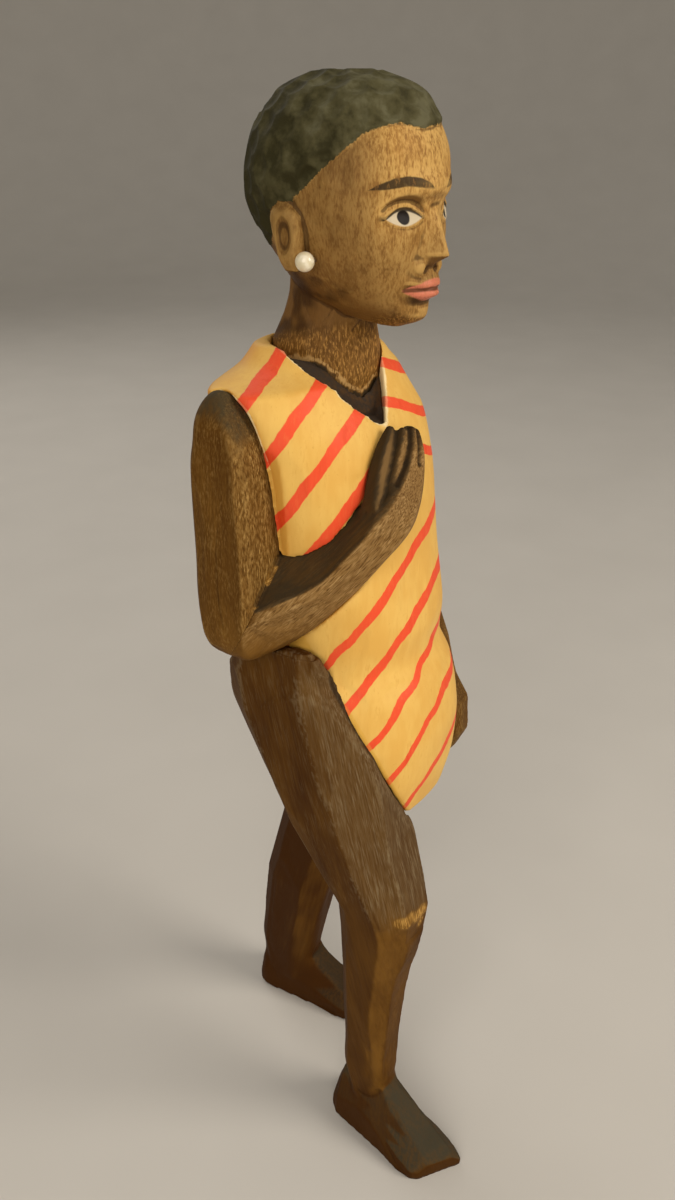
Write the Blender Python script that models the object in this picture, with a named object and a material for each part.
# Carved and painted wooden figure of a walking youth, built up from glued blocks.
# Metres, +Z up. The figure faces -Y, its right side is -X and its soles stand on z = 0.
import math

import bmesh
import bpy
from mathutils import Matrix, Vector

# Heights above the floor, from the soles up to the hem
ANKLE_HEIGHT = 0.0300
LEFT_KNEE_HEIGHT = 0.0900
RIGHT_KNEE_HEIGHT = 0.0970
HEM_HEIGHT = 0.1245

# Lengths from the hem up to the crown
HIP_CORNER_RISE = 0.0545
SKIRT_LENGTH = 0.0435
TRUNK_LENGTH = 0.0685
COLLAR_RISE = 0.0085
CHIN_RISE = 0.0028
HEAD_LENGTH = 0.0522
NECKLINE_DROP = 0.0163
UPPER_ARM_LENGTH = 0.0545
LEFT_ARM_LENGTH = 0.1195

# Head
HEAD_WIDTH = 0.0380
HEAD_FRONT = 0.0230
HEAD_BACK = 0.0202
HEAD_FORWARD = 0.0020
HAIR_RELIEF = 0.0012
NOSE_LIFT = 0.0050
NOSE_WIDTH = 0.0094
EAR_HEIGHT = 0.0135
EAR_DEPTH = 0.0080
EAR_THICKNESS = 0.0060
NECK_WIDTH = 0.0190
NECK_DEPTH = 0.0205
NECK_PLUG = 0.0110
NECK_BACK = 0.0025

# Tunic
RIGHT_SHOULDER_REACH = 0.0345
LEFT_SHOULDER_REACH = 0.0215
RIGHT_CHEST_REACH = 0.0325
LEFT_CHEST_REACH = 0.0240
WAIST_REACH = 0.0258
SKIRT_REACH = 0.0300
CHEST_FRONT = 0.0217
CHEST_BACK = 0.0200
WAIST_FRONT = 0.0262
WAIST_BACK = 0.0155
SKIRT_FRONT = 0.0325
SKIRT_BACK = 0.0208
CLOTH_RELIEF = 0.0018
COLLAR_WIDTH = 0.0300
NECKLINE_RIGHT = 0.0178
NECKLINE_LEFT = 0.0110
NECKLINE_SHIFT = -0.0045
NECKLINE_DEPTH = 0.0050
HEM_CORNER_REACH = 0.0290
HEM_TIP_REACH = 0.0095

# Arms
ARM_REACH = 0.0325
LEFT_ARM_REACH = 0.0285
ARM_BACK = 0.0053
LEFT_ARM_BACK = 0.0085
ARM_WIDTH = 0.0186
ARM_DEPTH = 0.0182
FOREARM_WIDTH = 0.0180
WRIST_WIDTH = 0.0114
WRIST_REACH = 0.0152
WRIST_FRONT = 0.0237
WRIST_RISE = 0.0263
HAND_LENGTH = 0.0220
HAND_WIDTH = 0.0094
HAND_THICKNESS = 0.0076
THUMB_LENGTH = 0.0192
THUMB_WIDTH = 0.0046

# Legs
LEG_REACH = 0.0150
THIGH_WIDTH = 0.0290
THIGH_DEPTH = 0.0360
KNEE_WIDTH = 0.0210
KNEE_DEPTH = 0.0240
SHIN_WIDTH = 0.0170
SHIN_DEPTH = 0.0170
ANKLE_WIDTH = 0.0158
ANKLE_DEPTH = 0.0160
FOOT_LENGTH = 0.0435
FOOT_WIDTH = 0.0168
FOOT_TURN = 8.0
STRIDE = 0.0535
RIGHT_HEEL_REACH = 0.0095
LEFT_HEEL_REACH = 0.0180
LEFT_LEG_SEAT = 0.0135

# Fixings
CLEARANCE = 0.0003
PIN_CLEARANCE = 0.00015
DOWEL_DIAMETER = 0.0060
DOWEL_DEPTH = 0.0095
ELBOW_DOWEL_DIAMETER = 0.0040
ELBOW_DOWEL_DEPTH = 0.0070
PEARL_DIAMETER = 0.0042
PIN_DIAMETER = 0.0010
PIN_LENGTH = 0.0070

# Facets
LIMB_CHAMFER = 0.45
TUNIC_SIDES = 24
HEAD_SIDES = 40
FACE_ROWS = 24
HAIR_ROWS = 10
ROUND_SIDES = 16

# Heights that follow from the lengths
HIP_CORNER_HEIGHT = HEM_HEIGHT + HIP_CORNER_RISE
WAIST_HEIGHT = HEM_HEIGHT + SKIRT_LENGTH
SHOULDER_HEIGHT = WAIST_HEIGHT + TRUNK_LENGTH
COLLAR_HEIGHT = SHOULDER_HEIGHT + COLLAR_RISE
CHIN_HEIGHT = COLLAR_HEIGHT + CHIN_RISE
NECKLINE_HEIGHT = COLLAR_HEIGHT - NECKLINE_DROP
ELBOW_HEIGHT = SHOULDER_HEIGHT - UPPER_ARM_LENGTH
FIST_HEIGHT = SHOULDER_HEIGHT - LEFT_ARM_LENGTH

ACROSS = Vector((1.0, 0.0, 0.0))
ALONG = Vector((0.0, 1.0, 0.0))
UP = Vector((0.0, 0.0, 1.0))
REACH_OUT = 0.1

SKIN = (0.130, 0.072, 0.030, 1.0)
HAIR_AND_SKIN = (0.150, 0.085, 0.036, 1.0)
CLOTH = (0.800, 0.450, 0.120, 1.0)
BARE_WOOD = (0.560, 0.390, 0.220, 1.0)
PEARL = (0.860, 0.820, 0.700, 1.0)
STEEL = (0.600, 0.600, 0.620, 1.0)


def blend(first, last, share):
    return first + (last - first) * share


def clear_scene():
    for item in list(bpy.data.objects):
        bpy.data.objects.remove(item, do_unlink=True)


def solid(name, vertices, faces):
    mesh = bpy.data.meshes.new(name)
    work = bmesh.new()
    corners = [work.verts.new(point) for point in vertices]
    for face in faces:
        work.faces.new([corners[index] for index in face])
    bmesh.ops.triangulate(work, faces=work.faces[:])
    bmesh.ops.recalc_face_normals(work, faces=work.faces[:])
    work.to_mesh(mesh)
    work.free()
    piece = bpy.data.objects.new(name, mesh)
    bpy.context.scene.collection.objects.link(piece)
    return piece


def loft(name, rings):
    sides = len(rings[0])
    vertices = [point for ring in rings for point in ring]
    faces = []
    for row in range(len(rings) - 1):
        for side in range(sides):
            after = (side + 1) % sides
            low = row * sides
            high = low + sides
            faces.append((low + side, low + after, high + after, high + side))
    faces.append(tuple(reversed(range(sides))))
    faces.append(tuple(range(len(vertices) - sides, len(vertices))))
    return solid(name, vertices, faces)


def carved_ring(centre, half_width, half_depth, across, along):
    # An eight-sided section: four broad faces and four knife chamfers.
    cut = LIMB_CHAMFER
    corners = ((1, cut), (cut, 1), (-cut, 1), (-1, cut), (-1, -cut), (-cut, -1), (cut, -1), (1, -cut))
    return [centre + across * half_width * u + along * half_depth * v for u, v in corners]


def carved_limb(name, stations, across=ACROSS, along=ALONG, grow=0.0):
    # A station is the centre of a section with its half width and half depth.
    axis = across.cross(along)
    rings = []
    for number, (centre, half_width, half_depth) in enumerate(stations):
        shift = 0.0
        if number == 0:
            shift = -grow
        if number == len(stations) - 1:
            shift = grow
        way = axis if (stations[-1][0] - stations[0][0]).dot(axis) > 0 else -axis
        middle = centre + way * shift
        rings.append(carved_ring(middle, half_width + grow, half_depth + grow, across, along))
    return loft(name, rings)


def oval_ring(height, right, left, front, back, sides, power, middle=0.0):
    ring = []
    for side in range(sides):
        angle = 2.0 * math.pi * side / sides
        c = math.cos(angle)
        s = math.sin(angle)
        x = math.copysign(abs(c) ** (2.0 / power), c) * (left if c > 0 else right)
        y = math.copysign(abs(s) ** (2.0 / power), s) * (back if s > 0 else front)
        ring.append(Vector((x, middle + y, height)))
    return ring


def rod(name, start, end, diameter):
    axis = (end - start).normalized()
    turn = UP.rotation_difference(axis).to_matrix()
    rings = []
    for point in (start, end):
        ring = []
        for side in range(ROUND_SIDES):
            angle = 2.0 * math.pi * side / ROUND_SIDES
            spoke = Vector((math.cos(angle), math.sin(angle), 0.0)) * diameter * 0.5
            ring.append(point + turn @ spoke)
        rings.append(ring)
    return loft(name, rings)


def prism(name, outline):
    # An outline in the XZ plane, carried right through the figure from front to back.
    rings = [[Vector((x, y, z)) for x, z in outline] for y in (-REACH_OUT, REACH_OUT)]
    return loft(name, rings)


def ball(name, centre, diameter, axis):
    turn = UP.rotation_difference(axis).to_matrix()
    rows = ROUND_SIDES // 2
    vertices = [centre - turn @ UP * diameter * 0.5]
    for row in range(1, rows):
        tilt = math.pi * row / rows
        for side in range(ROUND_SIDES):
            angle = 2.0 * math.pi * (side + 0.5) / ROUND_SIDES
            wide = math.sin(tilt)
            spoke = Vector((wide * math.cos(angle), wide * math.sin(angle), -math.cos(tilt)))
            vertices.append(centre + turn @ spoke * diameter * 0.5)
    vertices.append(centre + turn @ UP * diameter * 0.5)
    faces = []
    last = 1 + (rows - 2) * ROUND_SIDES
    for side in range(ROUND_SIDES):
        after = (side + 1) % ROUND_SIDES
        faces.append((0, 1 + after, 1 + side))
        faces.append((last + side, last + after, len(vertices) - 1))
        for row in range(rows - 2):
            low = 1 + row * ROUND_SIDES
            high = low + ROUND_SIDES
            faces.append((low + side, low + after, high + after, high + side))
    return solid(name, vertices, faces)


def combine(body, tool, operation):
    step = body.modifiers.new(operation.lower(), 'BOOLEAN')
    step.operation = operation
    step.solver = 'EXACT'
    step.object = tool
    bpy.context.view_layer.update()
    shaped = body.evaluated_get(bpy.context.evaluated_depsgraph_get())
    mesh = bpy.data.meshes.new_from_object(shaped)
    body.modifiers.clear()
    body.data = mesh
    bpy.data.objects.remove(tool, do_unlink=True)


def cut(body, tool):
    combine(body, tool, 'DIFFERENCE')


def join(body, tool):
    combine(body, tool, 'UNION')


def keep_inside(body, tool):
    combine(body, tool, 'INTERSECT')


# Head

# share of head height, then shares of half width, of front reach and of back reach,
# and the ring's tilt as a share of head height
HEAD_PROFILE = (
    (0.00, 0.36, 0.66, 0.30, 0.192),
    (0.06, 0.54, 0.82, 0.50, 0.182),
    (0.16, 0.73, 0.90, 0.70, 0.163),
    (0.28, 0.85, 0.94, 0.84, 0.134),
    (0.40, 0.93, 0.97, 0.95, 0.086),
    (0.52, 0.98, 0.99, 1.00, 0.038),
    (0.64, 0.98, 1.00, 0.98, 0.0),
    (0.76, 0.91, 0.96, 0.91, 0.0),
    (0.86, 0.77, 0.83, 0.78, 0.0),
    (0.94, 0.54, 0.60, 0.56, 0.0),
    (0.985, 0.28, 0.31, 0.29, 0.0),
)
HEAD_HEIGHT = HEAD_LENGTH / HEAD_PROFILE[-1][0] - HAIR_RELIEF
# angle from the front in degrees, then share of head height at which the hair begins
HAIRLINE = (
    (0.0, 0.805),
    (40.0, 0.81),
    (65.0, 0.735),
    (84.0, 0.59),
    (100.0, 0.42),
    (125.0, 0.25),
    (180.0, 0.18),
)
# share of head height, then place across, half width, half height and lift of each form on the face,
# all as shares of the head's width
FACE_FORMS = (
    (0.600, 0.0, 0.37, 0.105, 0.032),
    (0.500, 0.216, 0.158, 0.11, -0.058),
    (0.500, -0.216, 0.158, 0.11, -0.058),
    (0.340, 0.29, 0.158, 0.184, 0.021),
    (0.340, -0.29, 0.158, 0.184, 0.021),
    (0.205, 0.0, 0.224, 0.158, 0.058),
    (0.070, 0.0, 0.184, 0.118, 0.042),
)
NOSE_ROOT = 0.53
NOSE_TIP = 0.345
NOSE_BASE = 0.285


def along_curve(curve, at):
    # A smooth run through the listed points.
    last = len(curve) - 1
    number = 0
    while number < last - 1 and at > curve[number + 1][0]:
        number += 1
    before = curve[max(number - 1, 0)]
    left = curve[number]
    right = curve[number + 1]
    beyond = curve[min(number + 2, last)]
    span = right[0] - left[0]
    share = min(max((at - left[0]) / span, 0.0), 1.0)
    values = []
    for a, b, c, d in zip(before[1:], left[1:], right[1:], beyond[1:]):
        rise = (c - a) * span / max(right[0] - before[0], span)
        fall = (d - b) * span / max(beyond[0] - left[0], span)
        turn = (2.0 * b - 2.0 * c + rise + fall) * share ** 3
        turn += (3.0 * c - 3.0 * b - 2.0 * rise - fall) * share ** 2
        values.append(turn + rise * share + b)
    return values


def face_lift(x, share):
    lift = 0.0
    for level, place, half_width, half_height, height in FACE_FORMS:
        u = (x / HEAD_WIDTH - place) / half_width
        v = (share - level) * HEAD_HEIGHT / (HEAD_WIDTH * half_height)
        reach = math.hypot(u, v)
        if reach < 1.0:
            lift += height * HEAD_WIDTH * math.cos(reach * math.pi / 2.0) ** 2
    if NOSE_BASE < share < NOSE_ROOT:
        if share > NOSE_TIP:
            rise = (NOSE_ROOT - share) / (NOSE_ROOT - NOSE_TIP)
        else:
            rise = (share - NOSE_BASE) / (NOSE_TIP - NOSE_BASE)
        half = NOSE_WIDTH * 0.5 * (0.45 + 0.55 * min(1.0, (NOSE_ROOT - share) / (NOSE_ROOT - NOSE_TIP)))
        lift += NOSE_LIFT * rise * max(0.0, 1.0 - abs(x) / half)
    return lift


def head_point(angle, share, hair):
    width, front, back, tilt = along_curve(HEAD_PROFILE, share)
    c = math.cos(angle)
    s = math.sin(angle)
    x = math.copysign(abs(s) ** 0.86, s) * width * HEAD_WIDTH * 0.5
    reach = front * HEAD_FRONT if c > 0 else back * HEAD_BACK
    y = -math.copysign(abs(c) ** 0.86, c) * reach
    if c > 0:
        y -= face_lift(x, share) * min(1.0, 3.0 * c)
    back_share = (y + HEAD_FRONT) / (HEAD_FRONT + HEAD_BACK)
    z = CHIN_HEIGHT + (share + tilt * back_share) * HEAD_HEIGHT + hair * share
    spread = 1.0 + hair / (HEAD_WIDTH * 0.5)
    return Vector((x * spread, y * spread - HEAD_FORWARD, z))


def head_block(name):
    # Rings below the hairline follow the face, rings above it follow the raised cap of hair.
    angles = [2.0 * math.pi * (side + 0.5) / HEAD_SIDES for side in range(HEAD_SIDES)]
    lines = [along_curve(HAIRLINE, math.degrees(math.acos(math.cos(angle))))[0] for angle in angles]
    top = HEAD_PROFILE[-1][0]
    rings = []
    for row in range(FACE_ROWS + 1):
        rings.append([head_point(a, line * row / FACE_ROWS, 0.0) for a, line in zip(angles, lines)])
    for row in range(HAIR_ROWS + 1):
        rise = math.sin(math.pi / 2.0 * row / HAIR_ROWS)
        shares = [blend(line + 0.006, top, rise) for line in lines]
        rings.append([head_point(a, share, HAIR_RELIEF) for a, share in zip(angles, shares)])
    return loft(name, rings)


def ear(side):
    back = HEAD_BACK * 0.074 - HEAD_FORWARD
    centre = Vector((side * HEAD_WIDTH * 0.475, back, CHIN_HEIGHT + HEAD_LENGTH * 0.402))
    thick = EAR_THICKNESS * 0.5
    stations = [
        (centre - UP * EAR_HEIGHT * 0.50, thick * 0.6, EAR_DEPTH * 0.22),
        (centre - UP * EAR_HEIGHT * 0.30, thick * 0.9, EAR_DEPTH * 0.36),
        (centre + UP * EAR_HEIGHT * 0.15, thick * 1.0, EAR_DEPTH * 0.50),
        (centre + UP * EAR_HEIGHT * 0.38, thick * 0.9, EAR_DEPTH * 0.46),
        (centre + UP * EAR_HEIGHT * 0.50, thick * 0.5, EAR_DEPTH * 0.28),
    ]
    return carved_limb("ear", stations)


NECK_FOOT = COLLAR_HEIGHT - NECK_PLUG


def neck(name, grow=0.0):
    half = NECK_WIDTH * 0.5 + grow
    deep = NECK_DEPTH * 0.5 + grow
    levels = (
        (NECK_FOOT - grow, 1.12, 1.0),
        (COLLAR_HEIGHT - NECK_PLUG * 0.55, 1.12, 1.0),
        (COLLAR_HEIGHT + NECK_PLUG * 0.36, 1.02, 0.8),
        (CHIN_HEIGHT + HEAD_LENGTH * 0.153, 1.00, 0.4),
        (CHIN_HEIGHT + HEAD_LENGTH * 0.345, 1.00, 0.0),
    )
    rings = []
    for height, swell, back in levels:
        wide = half * swell
        long = deep * swell
        rings.append(oval_ring(height, wide, wide, long, long, ROUND_SIDES, 2.2, NECK_BACK * back))
    return loft(name, rings)


# Tunic

def tunic_rings(inset=0.0):
    # height, reach to the right, to the left, to the front and to the back
    chest = blend(WAIST_HEIGHT, SHOULDER_HEIGHT, 0.70)
    ribs = blend(WAIST_HEIGHT, SHOULDER_HEIGHT, 0.40)
    drape = blend(HEM_HEIGHT, WAIST_HEIGHT, 0.25)
    skirt = blend(HEM_HEIGHT, WAIST_HEIGHT, 0.55)
    hip = blend(HEM_HEIGHT, WAIST_HEIGHT, 0.85)
    belly = blend(WAIST_HEIGHT, SHOULDER_HEIGHT, 0.12)
    yoke = SHOULDER_HEIGHT - COLLAR_RISE * 0.94
    strap = blend(SHOULDER_HEIGHT, COLLAR_HEIGHT, 0.50)
    collar = COLLAR_WIDTH * 0.5
    levels = (
        (HEM_HEIGHT, SKIRT_REACH, SKIRT_REACH * 0.91, SKIRT_FRONT * 0.90, SKIRT_BACK * 0.97),
        (drape, SKIRT_REACH, SKIRT_REACH * 0.94, SKIRT_FRONT * 0.98, SKIRT_BACK),
        (skirt, SKIRT_REACH, SKIRT_REACH * 0.95, SKIRT_FRONT, SKIRT_BACK),
        (hip, SKIRT_REACH * 0.94, SKIRT_REACH * 0.93, SKIRT_FRONT * 0.91, SKIRT_BACK * 0.85),
        (WAIST_HEIGHT, WAIST_REACH, WAIST_REACH, WAIST_FRONT, WAIST_BACK),
        (belly, WAIST_REACH, WAIST_REACH, WAIST_FRONT * 1.02, WAIST_BACK),
        (ribs, blend(WAIST_REACH, RIGHT_CHEST_REACH, 0.5), blend(WAIST_REACH, LEFT_CHEST_REACH, 0.5),
         blend(WAIST_FRONT, CHEST_FRONT, 0.5), WAIST_BACK * 1.10),
        (chest, RIGHT_CHEST_REACH, LEFT_CHEST_REACH, CHEST_FRONT, CHEST_BACK),
        (yoke, RIGHT_CHEST_REACH * 1.06, LEFT_CHEST_REACH, CHEST_FRONT * 0.82, CHEST_BACK),
        (SHOULDER_HEIGHT, RIGHT_SHOULDER_REACH, LEFT_SHOULDER_REACH,
         CHEST_FRONT * 0.60, CHEST_BACK * 0.95),
        (strap, blend(RIGHT_SHOULDER_REACH, collar, 0.5), blend(LEFT_SHOULDER_REACH, collar, 0.5),
         CHEST_FRONT * 0.46, CHEST_BACK * 0.88),
        (COLLAR_HEIGHT, collar * 1.05, collar * 0.92, CHEST_FRONT * 0.34, CHEST_BACK * 0.80),
    )
    rings = []
    for height, right, left, front, back in levels:
        if height > SHOULDER_HEIGHT and inset > 0.0:
            height = blend(SHOULDER_HEIGHT, height, 1.0 - NECKLINE_DEPTH / COLLAR_RISE)
        sizes = [reach - inset for reach in (right, left, front, back)]
        rings.append(oval_ring(height, *sizes, TUNIC_SIDES, 2.35))
    return rings


# number of the ring at the ribs
TUNIC_RIBS = 6

HEM_TIP = (-HEM_TIP_REACH, HEM_HEIGHT)
HEM_CORNER = (-HEM_CORNER_REACH, HIP_CORNER_HEIGHT)
HEM_WAY = Vector((HEM_CORNER[0] - HEM_TIP[0], HEM_CORNER[1] - HEM_TIP[1])).normalized()
HEM_NORMAL = Vector((-HEM_WAY.y, HEM_WAY.x)) if HEM_WAY.x > 0 else Vector((HEM_WAY.y, -HEM_WAY.x))
HEM_BEYOND = (HEM_TIP[0] + HEM_WAY.x * REACH_OUT, HEM_TIP[1] + HEM_WAY.y * REACH_OUT)


def hip_opening():
    outline = (HEM_TIP, HEM_BEYOND, (-REACH_OUT, HEM_BEYOND[1]), (-REACH_OUT, 0.0), (HEM_TIP[0], 0.0))
    return prism("hip opening", outline)


def tunic_zone():
    # The side of the hem line that belongs to the tunic, set back by the clearance.
    out = -HEM_NORMAL if HEM_NORMAL.x > 0 else HEM_NORMAL
    slide = (CLEARANCE + out.y * CLEARANCE) / out.x
    tip = (HEM_TIP[0] + slide, HEM_TIP[1] - CLEARANCE)
    beyond = (HEM_BEYOND[0] + slide, HEM_BEYOND[1] - CLEARANCE)
    outline = (tip, (REACH_OUT, tip[1]), (REACH_OUT, beyond[1]), beyond)
    return prism("tunic zone", outline)


def open_neckline(torso):
    # The V of the neckline is cut right through, and the bare chest behind it is put back.
    rise = COLLAR_HEIGHT + CLOTH_RELIEF
    left_edge = ((0.0, 0.0), (0.34, 0.43), (1.0, 1.0), (1.0, 2.0))
    right_edge = ((1.0, 2.0), (1.0, 1.0), (0.85, 0.65), (0.47, 0.33))
    outline = []
    for edge, reach in ((left_edge, NECKLINE_LEFT), (right_edge, -NECKLINE_RIGHT)):
        for out, up in edge:
            outline.append((blend(NECKLINE_SHIFT, reach, out), blend(NECKLINE_HEIGHT, rise, up)))
    opening = prism("neckline", outline)
    for vertex in opening.data.vertices:
        if vertex.co.y > 0.0:
            vertex.co.y = NECK_BACK + NECK_DEPTH * 0.41
    cut(torso, opening)
    join(torso, loft("chest", tunic_rings(CLOTH_RELIEF)[TUNIC_RIBS:]))


# Arms

ELBOW_R = Vector((-ARM_REACH - ARM_WIDTH * 0.027, ARM_BACK - ARM_DEPTH * 0.044, ELBOW_HEIGHT))
WRIST_R = Vector((-WRIST_REACH, -WRIST_FRONT, ELBOW_HEIGHT + WRIST_RISE))
FOREARM_WAY = (WRIST_R - ELBOW_R).normalized()
FOREARM_ACROSS = FOREARM_WAY.cross(UP).normalized()
FOREARM_UP = FOREARM_ACROSS.cross(FOREARM_WAY).normalized()
FINGER_WAY = Vector((0.50, 0.10, 0.86)).normalized()
PALM_WAY = Vector((0.25, 0.95, -0.15))
PALM_WAY = (PALM_WAY - FINGER_WAY * PALM_WAY.dot(FINGER_WAY)).normalized()
PALM_ACROSS = FINGER_WAY.cross(PALM_WAY)
FINGER_LENGTHS = (0.93, 1.0, 0.97, 0.86)
HAND_ROOT = WRIST_R + FOREARM_WAY * HAND_WIDTH * 0.106 - PALM_ACROSS * HAND_WIDTH * 0.085


def arm_top(side):
    half = ARM_WIDTH * 0.5
    deep = ARM_DEPTH * 0.5
    x = LEFT_ARM_REACH if side > 0 else -ARM_REACH
    y = LEFT_ARM_BACK if side > 0 else ARM_BACK
    return [
        (Vector((x, y, SHOULDER_HEIGHT)), half * 0.55, deep * 0.55),
        (Vector((x, y, SHOULDER_HEIGHT - ARM_WIDTH * 0.19)), half * 0.85, deep * 0.85),
        (Vector((x, y, SHOULDER_HEIGHT - ARM_WIDTH * 0.565)), half, deep),
        (Vector((x + side * half * 0.054, y, blend(ELBOW_HEIGHT, SHOULDER_HEIGHT, 0.55))), half, deep),
    ]


def mitre(side):
    # The half space on one side of the elbow, set back by half the clearance.
    normal = (FOREARM_WAY - UP).normalized() * side
    across = ACROSS
    along = normal.cross(across).normalized()
    face = ELBOW_R + normal * CLEARANCE * 0.5
    rings = []
    for depth in (0.0, REACH_OUT):
        corners = ((1, 1), (-1, 1), (-1, -1), (1, -1))
        rings.append([face + normal * depth + (across * u + along * v) * REACH_OUT for u, v in corners])
    return loft("mitre", rings)


def elbow_flat(grow):
    # The point of the elbow is pared off level.
    level = ELBOW_HEIGHT - FOREARM_WIDTH * 0.36 - grow
    outline = ((REACH_OUT, level), (REACH_OUT, 0.0), (-REACH_OUT, 0.0), (-REACH_OUT, level))
    return prism("elbow flat", outline)


def right_upper_arm(name, grow=0.0):
    stations = arm_top(-1)
    point = ELBOW_R - (UP * 0.47 + ALONG * 0.12) * FOREARM_WIDTH
    stations.append((ELBOW_R + UP * ARM_WIDTH * 0.32, ARM_WIDTH * 0.47, ARM_DEPTH * 0.49))
    stations.append((point, FOREARM_WIDTH * 0.42, FOREARM_WIDTH * 0.36))
    arm = carved_limb(name, stations, grow=grow)
    keep_inside(arm, mitre(-1))
    cut(arm, elbow_flat(grow))
    return arm


def palm_stations():
    wrist = HAND_ROOT
    half = HAND_WIDTH * 0.5
    thick = HAND_THICKNESS * 0.5
    return [
        (wrist - FINGER_WAY * HAND_LENGTH * 0.136, half * 0.90, thick * 1.05),
        (wrist + FINGER_WAY * HAND_LENGTH * 0.22, half * 1.06, thick * 1.10),
        (wrist + FINGER_WAY * HAND_LENGTH * 0.48, half * 1.04, thick * 0.95),
        (wrist + FINGER_WAY * HAND_LENGTH * 0.60, half * 0.92, thick * 0.70),
    ]


def finger_stations(number):
    # Fingers are counted from the index finger, which lies next to the thumb.
    pitch = HAND_WIDTH / len(FINGER_LENGTHS)
    root = HAND_ROOT + PALM_ACROSS * pitch * (1.5 - number)
    reach = HAND_LENGTH * FINGER_LENGTHS[number]
    half = pitch * 0.58
    thick = HAND_THICKNESS * 0.5
    return [
        (root + FINGER_WAY * HAND_LENGTH * 0.40, half, thick * 0.90),
        (root + FINGER_WAY * reach * 0.80, half * 0.96, thick * 0.80),
        (root + FINGER_WAY * reach, half * 0.60, thick * 0.45),
    ]


def thumb_stations():
    root = HAND_ROOT + FINGER_WAY * HAND_LENGTH * 0.06 + PALM_ACROSS * HAND_WIDTH * 0.48
    lean = (FINGER_WAY + PALM_ACROSS * 0.03 + PALM_WAY * 0.03).normalized()
    half = THUMB_WIDTH * 0.5
    return [
        (root, half * 1.15, half * 1.35),
        (root + lean * THUMB_LENGTH * 0.62, half, half * 1.15),
        (root + lean * THUMB_LENGTH, half * 0.55, half * 0.60),
    ]


def right_forearm(name, grow=0.0):
    wide = FOREARM_WIDTH * 0.5
    thin = WRIST_WIDTH * 0.5
    middle = ELBOW_R + (WRIST_R - ELBOW_R) * 0.5 - FOREARM_UP * wide * 0.11
    stations = [
        (ELBOW_R - FOREARM_WAY * wide * 0.67, wide * 0.82, wide * 0.82),
        (ELBOW_R - FOREARM_UP * wide * 0.07, wide, wide * 1.08),
        (middle, blend(wide, thin, 0.35), blend(wide, thin, 0.20)),
        (WRIST_R, thin, thin),
        (WRIST_R + FOREARM_WAY * thin * 0.74, thin * 0.60, thin * 0.66),
    ]
    arm = carved_limb(name, stations, FOREARM_ACROSS, FOREARM_UP, grow)
    join(arm, carved_limb("palm", palm_stations(), PALM_ACROSS, PALM_WAY, grow))
    for number in range(len(FINGER_LENGTHS)):
        join(arm, carved_limb("finger", finger_stations(number), PALM_ACROSS, PALM_WAY, grow))
    join(arm, carved_limb("thumb", thumb_stations(), PALM_ACROSS, PALM_WAY, grow))
    keep_inside(arm, mitre(1))
    cut(arm, elbow_flat(grow))
    return arm


def left_arm(name, grow=0.0):
    wide = FOREARM_WIDTH * 0.5
    thin = WRIST_WIDTH * 0.5
    wrist = blend(FIST_HEIGHT, ELBOW_HEIGHT, 0.36)
    stations = arm_top(1)
    # height, place outward and forward of the shoulder as shares of the arm, half width and half depth
    levels = (
        (ELBOW_HEIGHT, 0.042, 0.018, ARM_WIDTH * 0.46, ARM_DEPTH * 0.48),
        (blend(wrist, ELBOW_HEIGHT, 0.62), 0.059, 0.056, wide * 0.93, wide),
        (blend(wrist, ELBOW_HEIGHT, 0.28), 0.066, 0.106, wide * 0.82, wide * 0.95),
        (wrist, 0.069, 0.152, thin, thin * 1.15),
        (blend(FIST_HEIGHT, wrist, 0.72), 0.068, 0.176, thin * 1.08, thin * 1.42),
        (blend(FIST_HEIGHT, wrist, 0.30), 0.062, 0.184, thin * 1.08, thin * 1.45),
        (FIST_HEIGHT, 0.054, 0.177, thin * 0.75, thin * 1.05),
    )
    for height, out, ahead, half_width, half_depth in levels:
        x = LEFT_ARM_REACH + out * LEFT_ARM_LENGTH
        y = LEFT_ARM_BACK - ahead * LEFT_ARM_LENGTH
        stations.append((Vector((x, y, height)), half_width, half_depth))
    return carved_limb(name, stations, grow=grow)


# Legs

def foot(heel, turn):
    # Rings from heel to toe with a flat sole; the inner side reaches further forward.
    side = 1.0 if turn > 0 else -1.0
    way = Vector((math.sin(math.radians(turn)), -math.cos(math.radians(turn)), 0.0))
    outward = Vector((-way.y, way.x, 0.0)) * side
    # shares of the length, of the width and of the ankle's height, and how far the outer side falls back
    shape = (
        (0.00, 0.60, 0.333, 0.00),
        (0.07, 0.84, 0.633, 0.00),
        (0.30, 0.88, 0.900, 0.00),
        (0.52, 0.92, 0.650, 0.01),
        (0.76, 1.04, 0.367, 0.06),
        (0.92, 0.98, 0.250, 0.12),
        (1.00, 0.78, 0.167, 0.15),
    )
    rings = []
    for share, wide, top, slant in shape:
        half = FOOT_WIDTH * 0.5 * wide
        ring = []
        for u, v in ((-1, 0), (-1, 0.42), (-0.58, 1), (0.50, 1), (1, 0.42), (1, 0)):
            ahead = way * FOOT_LENGTH * (share - slant * (u + 1) * 0.5)
            ring.append(heel + ahead + outward * half * u + UP * ANKLE_HEIGHT * top * v)
        rings.append(ring)
    return loft("foot", rings)


RIGHT_HEEL = Vector((-RIGHT_HEEL_REACH, -STRIDE * 0.168, 0.0))
LEFT_HEEL = Vector((LEFT_HEEL_REACH, RIGHT_HEEL.y + STRIDE, 0.0))


def leg(name, levels, heel, turn, grow=0.0):
    # A level is its height, its place across, its place back as a share of the stride, width and depth.
    stations = []
    for height, x, back, width, depth in levels:
        stations.append((Vector((x, back * STRIDE, height)), width * 0.5, depth * 0.5))
    limb = carved_limb(name, stations, grow=grow)
    if grow == 0.0:
        join(limb, foot(heel, turn))
    return limb


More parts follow.
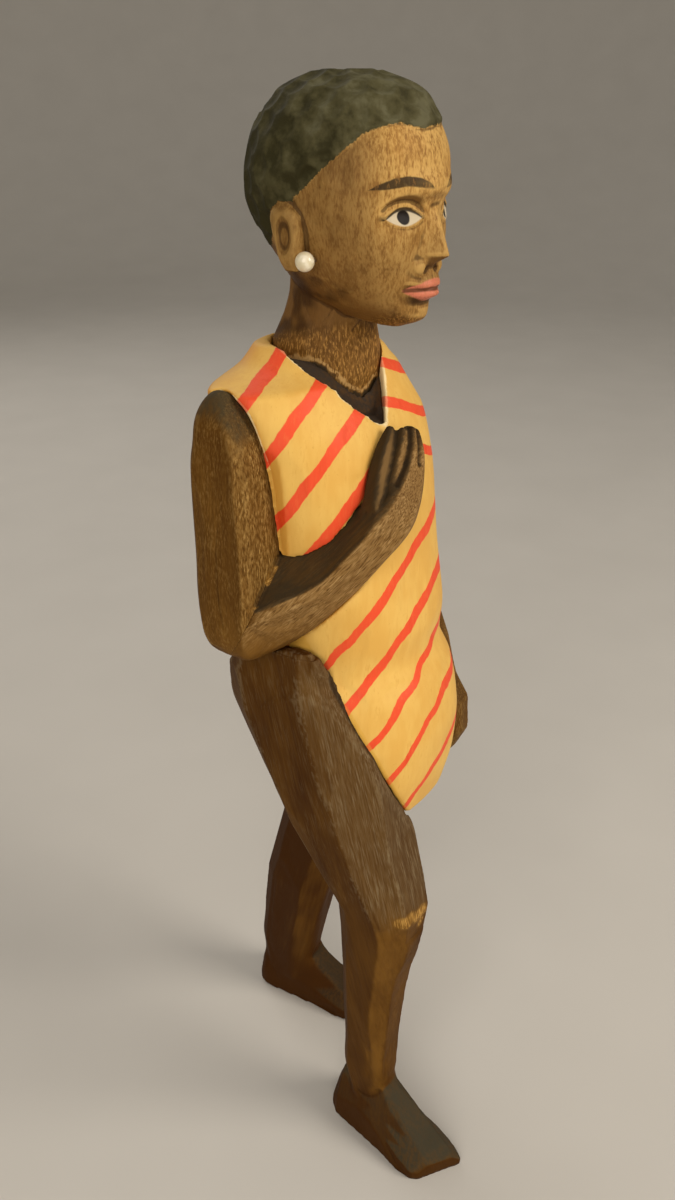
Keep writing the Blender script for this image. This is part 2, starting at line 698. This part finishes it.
def right_leg(name):
    x = -LEG_REACH
    bit = THIGH_WIDTH * 0.02
    ankle_x = RIGHT_HEEL.x - FOOT_WIDTH * 0.15
    hip = blend(HEM_HEIGHT, HIP_CORNER_HEIGHT, 0.76)
    seat = blend(HEM_HEIGHT, HIP_CORNER_HEIGHT, 0.50)
    thigh = blend(HEM_HEIGHT, HIP_CORNER_HEIGHT, 0.24)
    knee = RIGHT_KNEE_HEIGHT
    shin = blend(ANKLE_HEIGHT, knee, 0.48)
    levels = (
        (HIP_CORNER_HEIGHT + bit * 3.4, x - bit * 2.6, -0.075, THIGH_WIDTH * 0.86, THIGH_DEPTH * 0.94),
        (hip, x, -0.030, THIGH_WIDTH * 1.02, THIGH_DEPTH * 1.19),
        (seat, x + bit * 0.9, -0.082, THIGH_WIDTH * 1.05, THIGH_DEPTH * 1.22),
        (thigh, x, -0.168, THIGH_WIDTH * 1.02, THIGH_DEPTH * 1.12),
        (HEM_HEIGHT - bit * 2.6, x, -0.252, THIGH_WIDTH * 0.94, THIGH_DEPTH * 0.97),
        (knee + KNEE_DEPTH * 0.417, x + bit * 0.7, -0.389, KNEE_WIDTH * 1.12, KNEE_DEPTH * 1.20),
        (knee, x + bit * 1.2, -0.473, KNEE_WIDTH, KNEE_DEPTH),
        (knee - KNEE_DEPTH * 0.5, x + bit * 1.9, -0.462, KNEE_WIDTH * 0.92, KNEE_DEPTH * 0.90),
        (shin, x + bit * 3.1, -0.421, SHIN_WIDTH, SHIN_DEPTH),
        (ANKLE_HEIGHT * 1.43, blend(x, ankle_x, 0.85), -0.404, ANKLE_WIDTH, ANKLE_DEPTH * 0.95),
        (ANKLE_HEIGHT * 0.93, ankle_x, -0.393, ANKLE_WIDTH * 0.92, ANKLE_DEPTH),
        (ANKLE_HEIGHT * 0.40, ankle_x, -0.393, ANKLE_WIDTH * 0.60, ANKLE_DEPTH * 0.60),
    )
    limb = leg(name, levels, RIGHT_HEEL, -FOOT_TURN)
    cut(limb, tunic_zone())
    return limb


def left_leg(name, grow=0.0):
    x = LEG_REACH
    bit = THIGH_WIDTH * 0.02
    ankle_x = LEFT_HEEL.x + FOOT_WIDTH * 0.03
    calf = blend(ANKLE_HEIGHT, LEFT_KNEE_HEIGHT, 0.50)
    shin = blend(ANKLE_HEIGHT, LEFT_KNEE_HEIGHT, 0.25)
    levels = (
        (HEM_HEIGHT + LEFT_LEG_SEAT, x - bit * 2.6, 0.022, THIGH_WIDTH * 0.80, THIGH_DEPTH * 0.68),
        (HEM_HEIGHT, x - bit * 2.1, 0.052, THIGH_WIDTH * 0.82, THIGH_DEPTH * 0.75),
        (LEFT_KNEE_HEIGHT + KNEE_DEPTH * 0.625, x, 0.196, THIGH_WIDTH * 0.82, THIGH_DEPTH * 0.80),
        (LEFT_KNEE_HEIGHT, x + bit * 1.4, 0.295, KNEE_WIDTH * 1.04, KNEE_DEPTH * 1.06),
        (LEFT_KNEE_HEIGHT - KNEE_DEPTH * 0.625, x + bit * 2.1, 0.383, KNEE_WIDTH, KNEE_DEPTH * 1.05),
        (calf, x + bit * 2.8, 0.464, KNEE_WIDTH * 0.98, KNEE_DEPTH * 1.02),
        (shin, blend(x, ankle_x, 0.7), 0.533, SHIN_WIDTH * 1.08, SHIN_DEPTH * 1.34),
        (ANKLE_HEIGHT * 0.80, ankle_x, 0.617, ANKLE_WIDTH * 1.04, ANKLE_DEPTH * 1.34),
        (ANKLE_HEIGHT * 0.30, ankle_x, 0.617, ANKLE_WIDTH * 0.80, ANKLE_DEPTH * 1.20),
    )
    return leg(name, levels, LEFT_HEEL, FOOT_TURN, grow)


# Fixings

class Dowel:
    def __init__(self, name, middle, way, diameter, before, after, clearance=CLEARANCE):
        self.name = name
        self.way = way.normalized()
        self.start = middle - self.way * before
        self.end = middle + self.way * after
        self.diameter = diameter
        self.clearance = clearance

    def piece(self):
        return rod(self.name, self.start, self.end, self.diameter)

    def bore(self):
        spare = self.way * self.clearance
        return rod("bore", self.start - spare, self.end + spare, self.diameter + 2.0 * self.clearance)


def paint(piece, colour, roughness, metallic=0.0):
    material = bpy.data.materials.new(piece.name)
    material.use_nodes = True
    shader = material.node_tree.nodes["Principled BSDF"]
    shader.inputs["Base Color"].default_value = colour
    shader.inputs["Roughness"].default_value = roughness
    shader.inputs["Metallic"].default_value = metallic
    material.diffuse_color = colour
    piece.data.materials.clear()
    piece.data.materials.append(material)


def tidy(piece):
    work = bmesh.new()
    work.from_mesh(piece.data)
    bmesh.ops.remove_doubles(work, verts=work.verts[:], dist=0.00001)
    bmesh.ops.dissolve_degenerate(work, edges=work.edges[:], dist=0.00001)
    bmesh.ops.triangulate(work, faces=work.faces[:])
    work.to_mesh(piece.data)
    work.free()


def settle(pieces):
    # The origin goes to the middle of the figure's footprint on the floor.
    points = [vertex.co for piece in pieces for vertex in piece.data.vertices]
    middle_x = (min(point.x for point in points) + max(point.x for point in points)) * 0.5
    middle_y = (min(point.y for point in points) + max(point.y for point in points)) * 0.5
    floor = min(point.z for point in points)
    shift = Matrix.Translation((-middle_x, -middle_y, -floor))
    for piece in pieces:
        piece.data.transform(shift)


def main():
    clear_scene()

    shoulder_z = SHOULDER_HEIGHT - ARM_WIDTH * 0.753
    right_face = ARM_REACH - ARM_WIDTH * 0.5
    left_face = LEFT_ARM_REACH - ARM_WIDTH * 0.5
    hem_share = 0.32
    hem_x = blend(HEM_TIP[0], HEM_CORNER[0], hem_share)
    hem_z = blend(HEM_TIP[1], HEM_CORNER[1], hem_share)
    hem_inward = -HEM_NORMAL if HEM_NORMAL.x < 0 else HEM_NORMAL
    hip_way = Vector((hem_inward.x, 0.0, hem_inward.y))
    left_hip_top = Vector((LEG_REACH - THIGH_WIDTH * 0.052, STRIDE * 0.041, HEM_HEIGHT + LEFT_LEG_SEAT))
    neck_dowel = Dowel(
        "neck_dowel", Vector((0.0, NECK_BACK, NECK_FOOT)), UP,
        DOWEL_DIAMETER, DOWEL_DEPTH, DOWEL_DEPTH * 1.5)
    right_shoulder = Dowel(
        "right_shoulder_dowel", Vector((-right_face, ARM_BACK, shoulder_z)), ACROSS,
        DOWEL_DIAMETER, DOWEL_DEPTH, DOWEL_DEPTH)
    left_shoulder = Dowel(
        "left_shoulder_dowel", Vector((left_face, LEFT_ARM_BACK, shoulder_z)), ACROSS,
        DOWEL_DIAMETER, DOWEL_DEPTH, DOWEL_DEPTH)
    elbow = Dowel(
        "right_elbow_dowel", ELBOW_R, FOREARM_WAY - UP,
        ELBOW_DOWEL_DIAMETER, ELBOW_DOWEL_DEPTH, ELBOW_DOWEL_DEPTH)
    right_hip = Dowel(
        "right_hip_dowel", Vector((hem_x, -STRIDE * 0.112, hem_z)), hip_way,
        DOWEL_DIAMETER, DOWEL_DEPTH, DOWEL_DEPTH)
    left_hip = Dowel(
        "left_hip_dowel", left_hip_top, UP,
        DOWEL_DIAMETER, DOWEL_DEPTH * 1.4, DOWEL_DEPTH)

    pins = {}
    pearl_centres = {}
    for label, side in (("right", -1), ("left", 1)):
        out = HEAD_WIDTH * 0.46 + PEARL_DIAMETER * 0.40
        centre = Vector((side * out, -HEAD_FRONT * 0.139 - HEAD_FORWARD, CHIN_HEIGHT + HEAD_LENGTH * 0.318))
        pearl_centres[label] = centre
        pins[label] = Dowel(
            label + "_pearl_pin", centre, -ACROSS * side, PIN_DIAMETER, 0.0, PIN_LENGTH, PIN_CLEARANCE)

    torso = loft("torso", tunic_rings())
    open_neckline(torso)
    cut(torso, hip_opening())
    cut(torso, neck("neck seat", CLEARANCE))
    cut(torso, right_upper_arm("arm seat", CLEARANCE))
    cut(torso, right_forearm("forearm seat", CLEARANCE))
    cut(torso, left_arm("arm seat", CLEARANCE))
    cut(torso, left_leg("leg seat", CLEARANCE))
    for dowel in (neck_dowel, right_shoulder, left_shoulder, right_hip, left_hip):
        cut(torso, dowel.bore())

    head = head_block("head")
    join(head, neck("neck"))
    for side in (-1, 1):
        join(head, ear(side))
    cut(head, neck_dowel.bore())

    upper_arm = right_upper_arm("right_upper_arm")
    cut(upper_arm, right_shoulder.bore())
    cut(upper_arm, elbow.bore())
    forearm = right_forearm("right_forearm")
    cut(forearm, elbow.bore())
    arm = left_arm("left_arm")
    cut(arm, left_shoulder.bore())
    leg_right = right_leg("right_leg")
    cut(leg_right, right_upper_arm("elbow seat", CLEARANCE))
    cut(leg_right, right_forearm("elbow seat", CLEARANCE))
    cut(leg_right, right_hip.bore())
    leg_left = left_leg("left_leg")
    cut(leg_left, left_hip.bore())

    pearls = {}
    for label in pins:
        seat_diameter = PEARL_DIAMETER + 2.0 * PIN_CLEARANCE
        cut(head, ball("pearl seat", pearl_centres[label], seat_diameter, pins[label].way))
        cut(head, pins[label].bore())
        pearls[label] = ball(label + "_pearl", pearl_centres[label], PEARL_DIAMETER, pins[label].way)
        cut(pearls[label], pins[label].bore())

    fixings = (neck_dowel, right_shoulder, left_shoulder, elbow, right_hip, left_hip)
    dowels = [item.piece() for item in fixings]
    studs = [pins[label].piece() for label in pins]

    paint(head, HAIR_AND_SKIN, 0.55)
    paint(torso, CLOTH, 0.50)
    for piece in (upper_arm, forearm, arm, leg_right, leg_left):
        paint(piece, SKIN, 0.55)
    for piece in dowels:
        paint(piece, BARE_WOOD, 0.70)
    for piece in pearls.values():
        paint(piece, PEARL, 0.18)
    for piece in studs:
        paint(piece, STEEL, 0.30, 1.0)

    blocks = [head, torso, upper_arm, forearm, arm, leg_right, leg_left]
    pieces = blocks + dowels + list(pearls.values()) + studs
    for piece in pieces:
        tidy(piece)
    settle(pieces)


main()
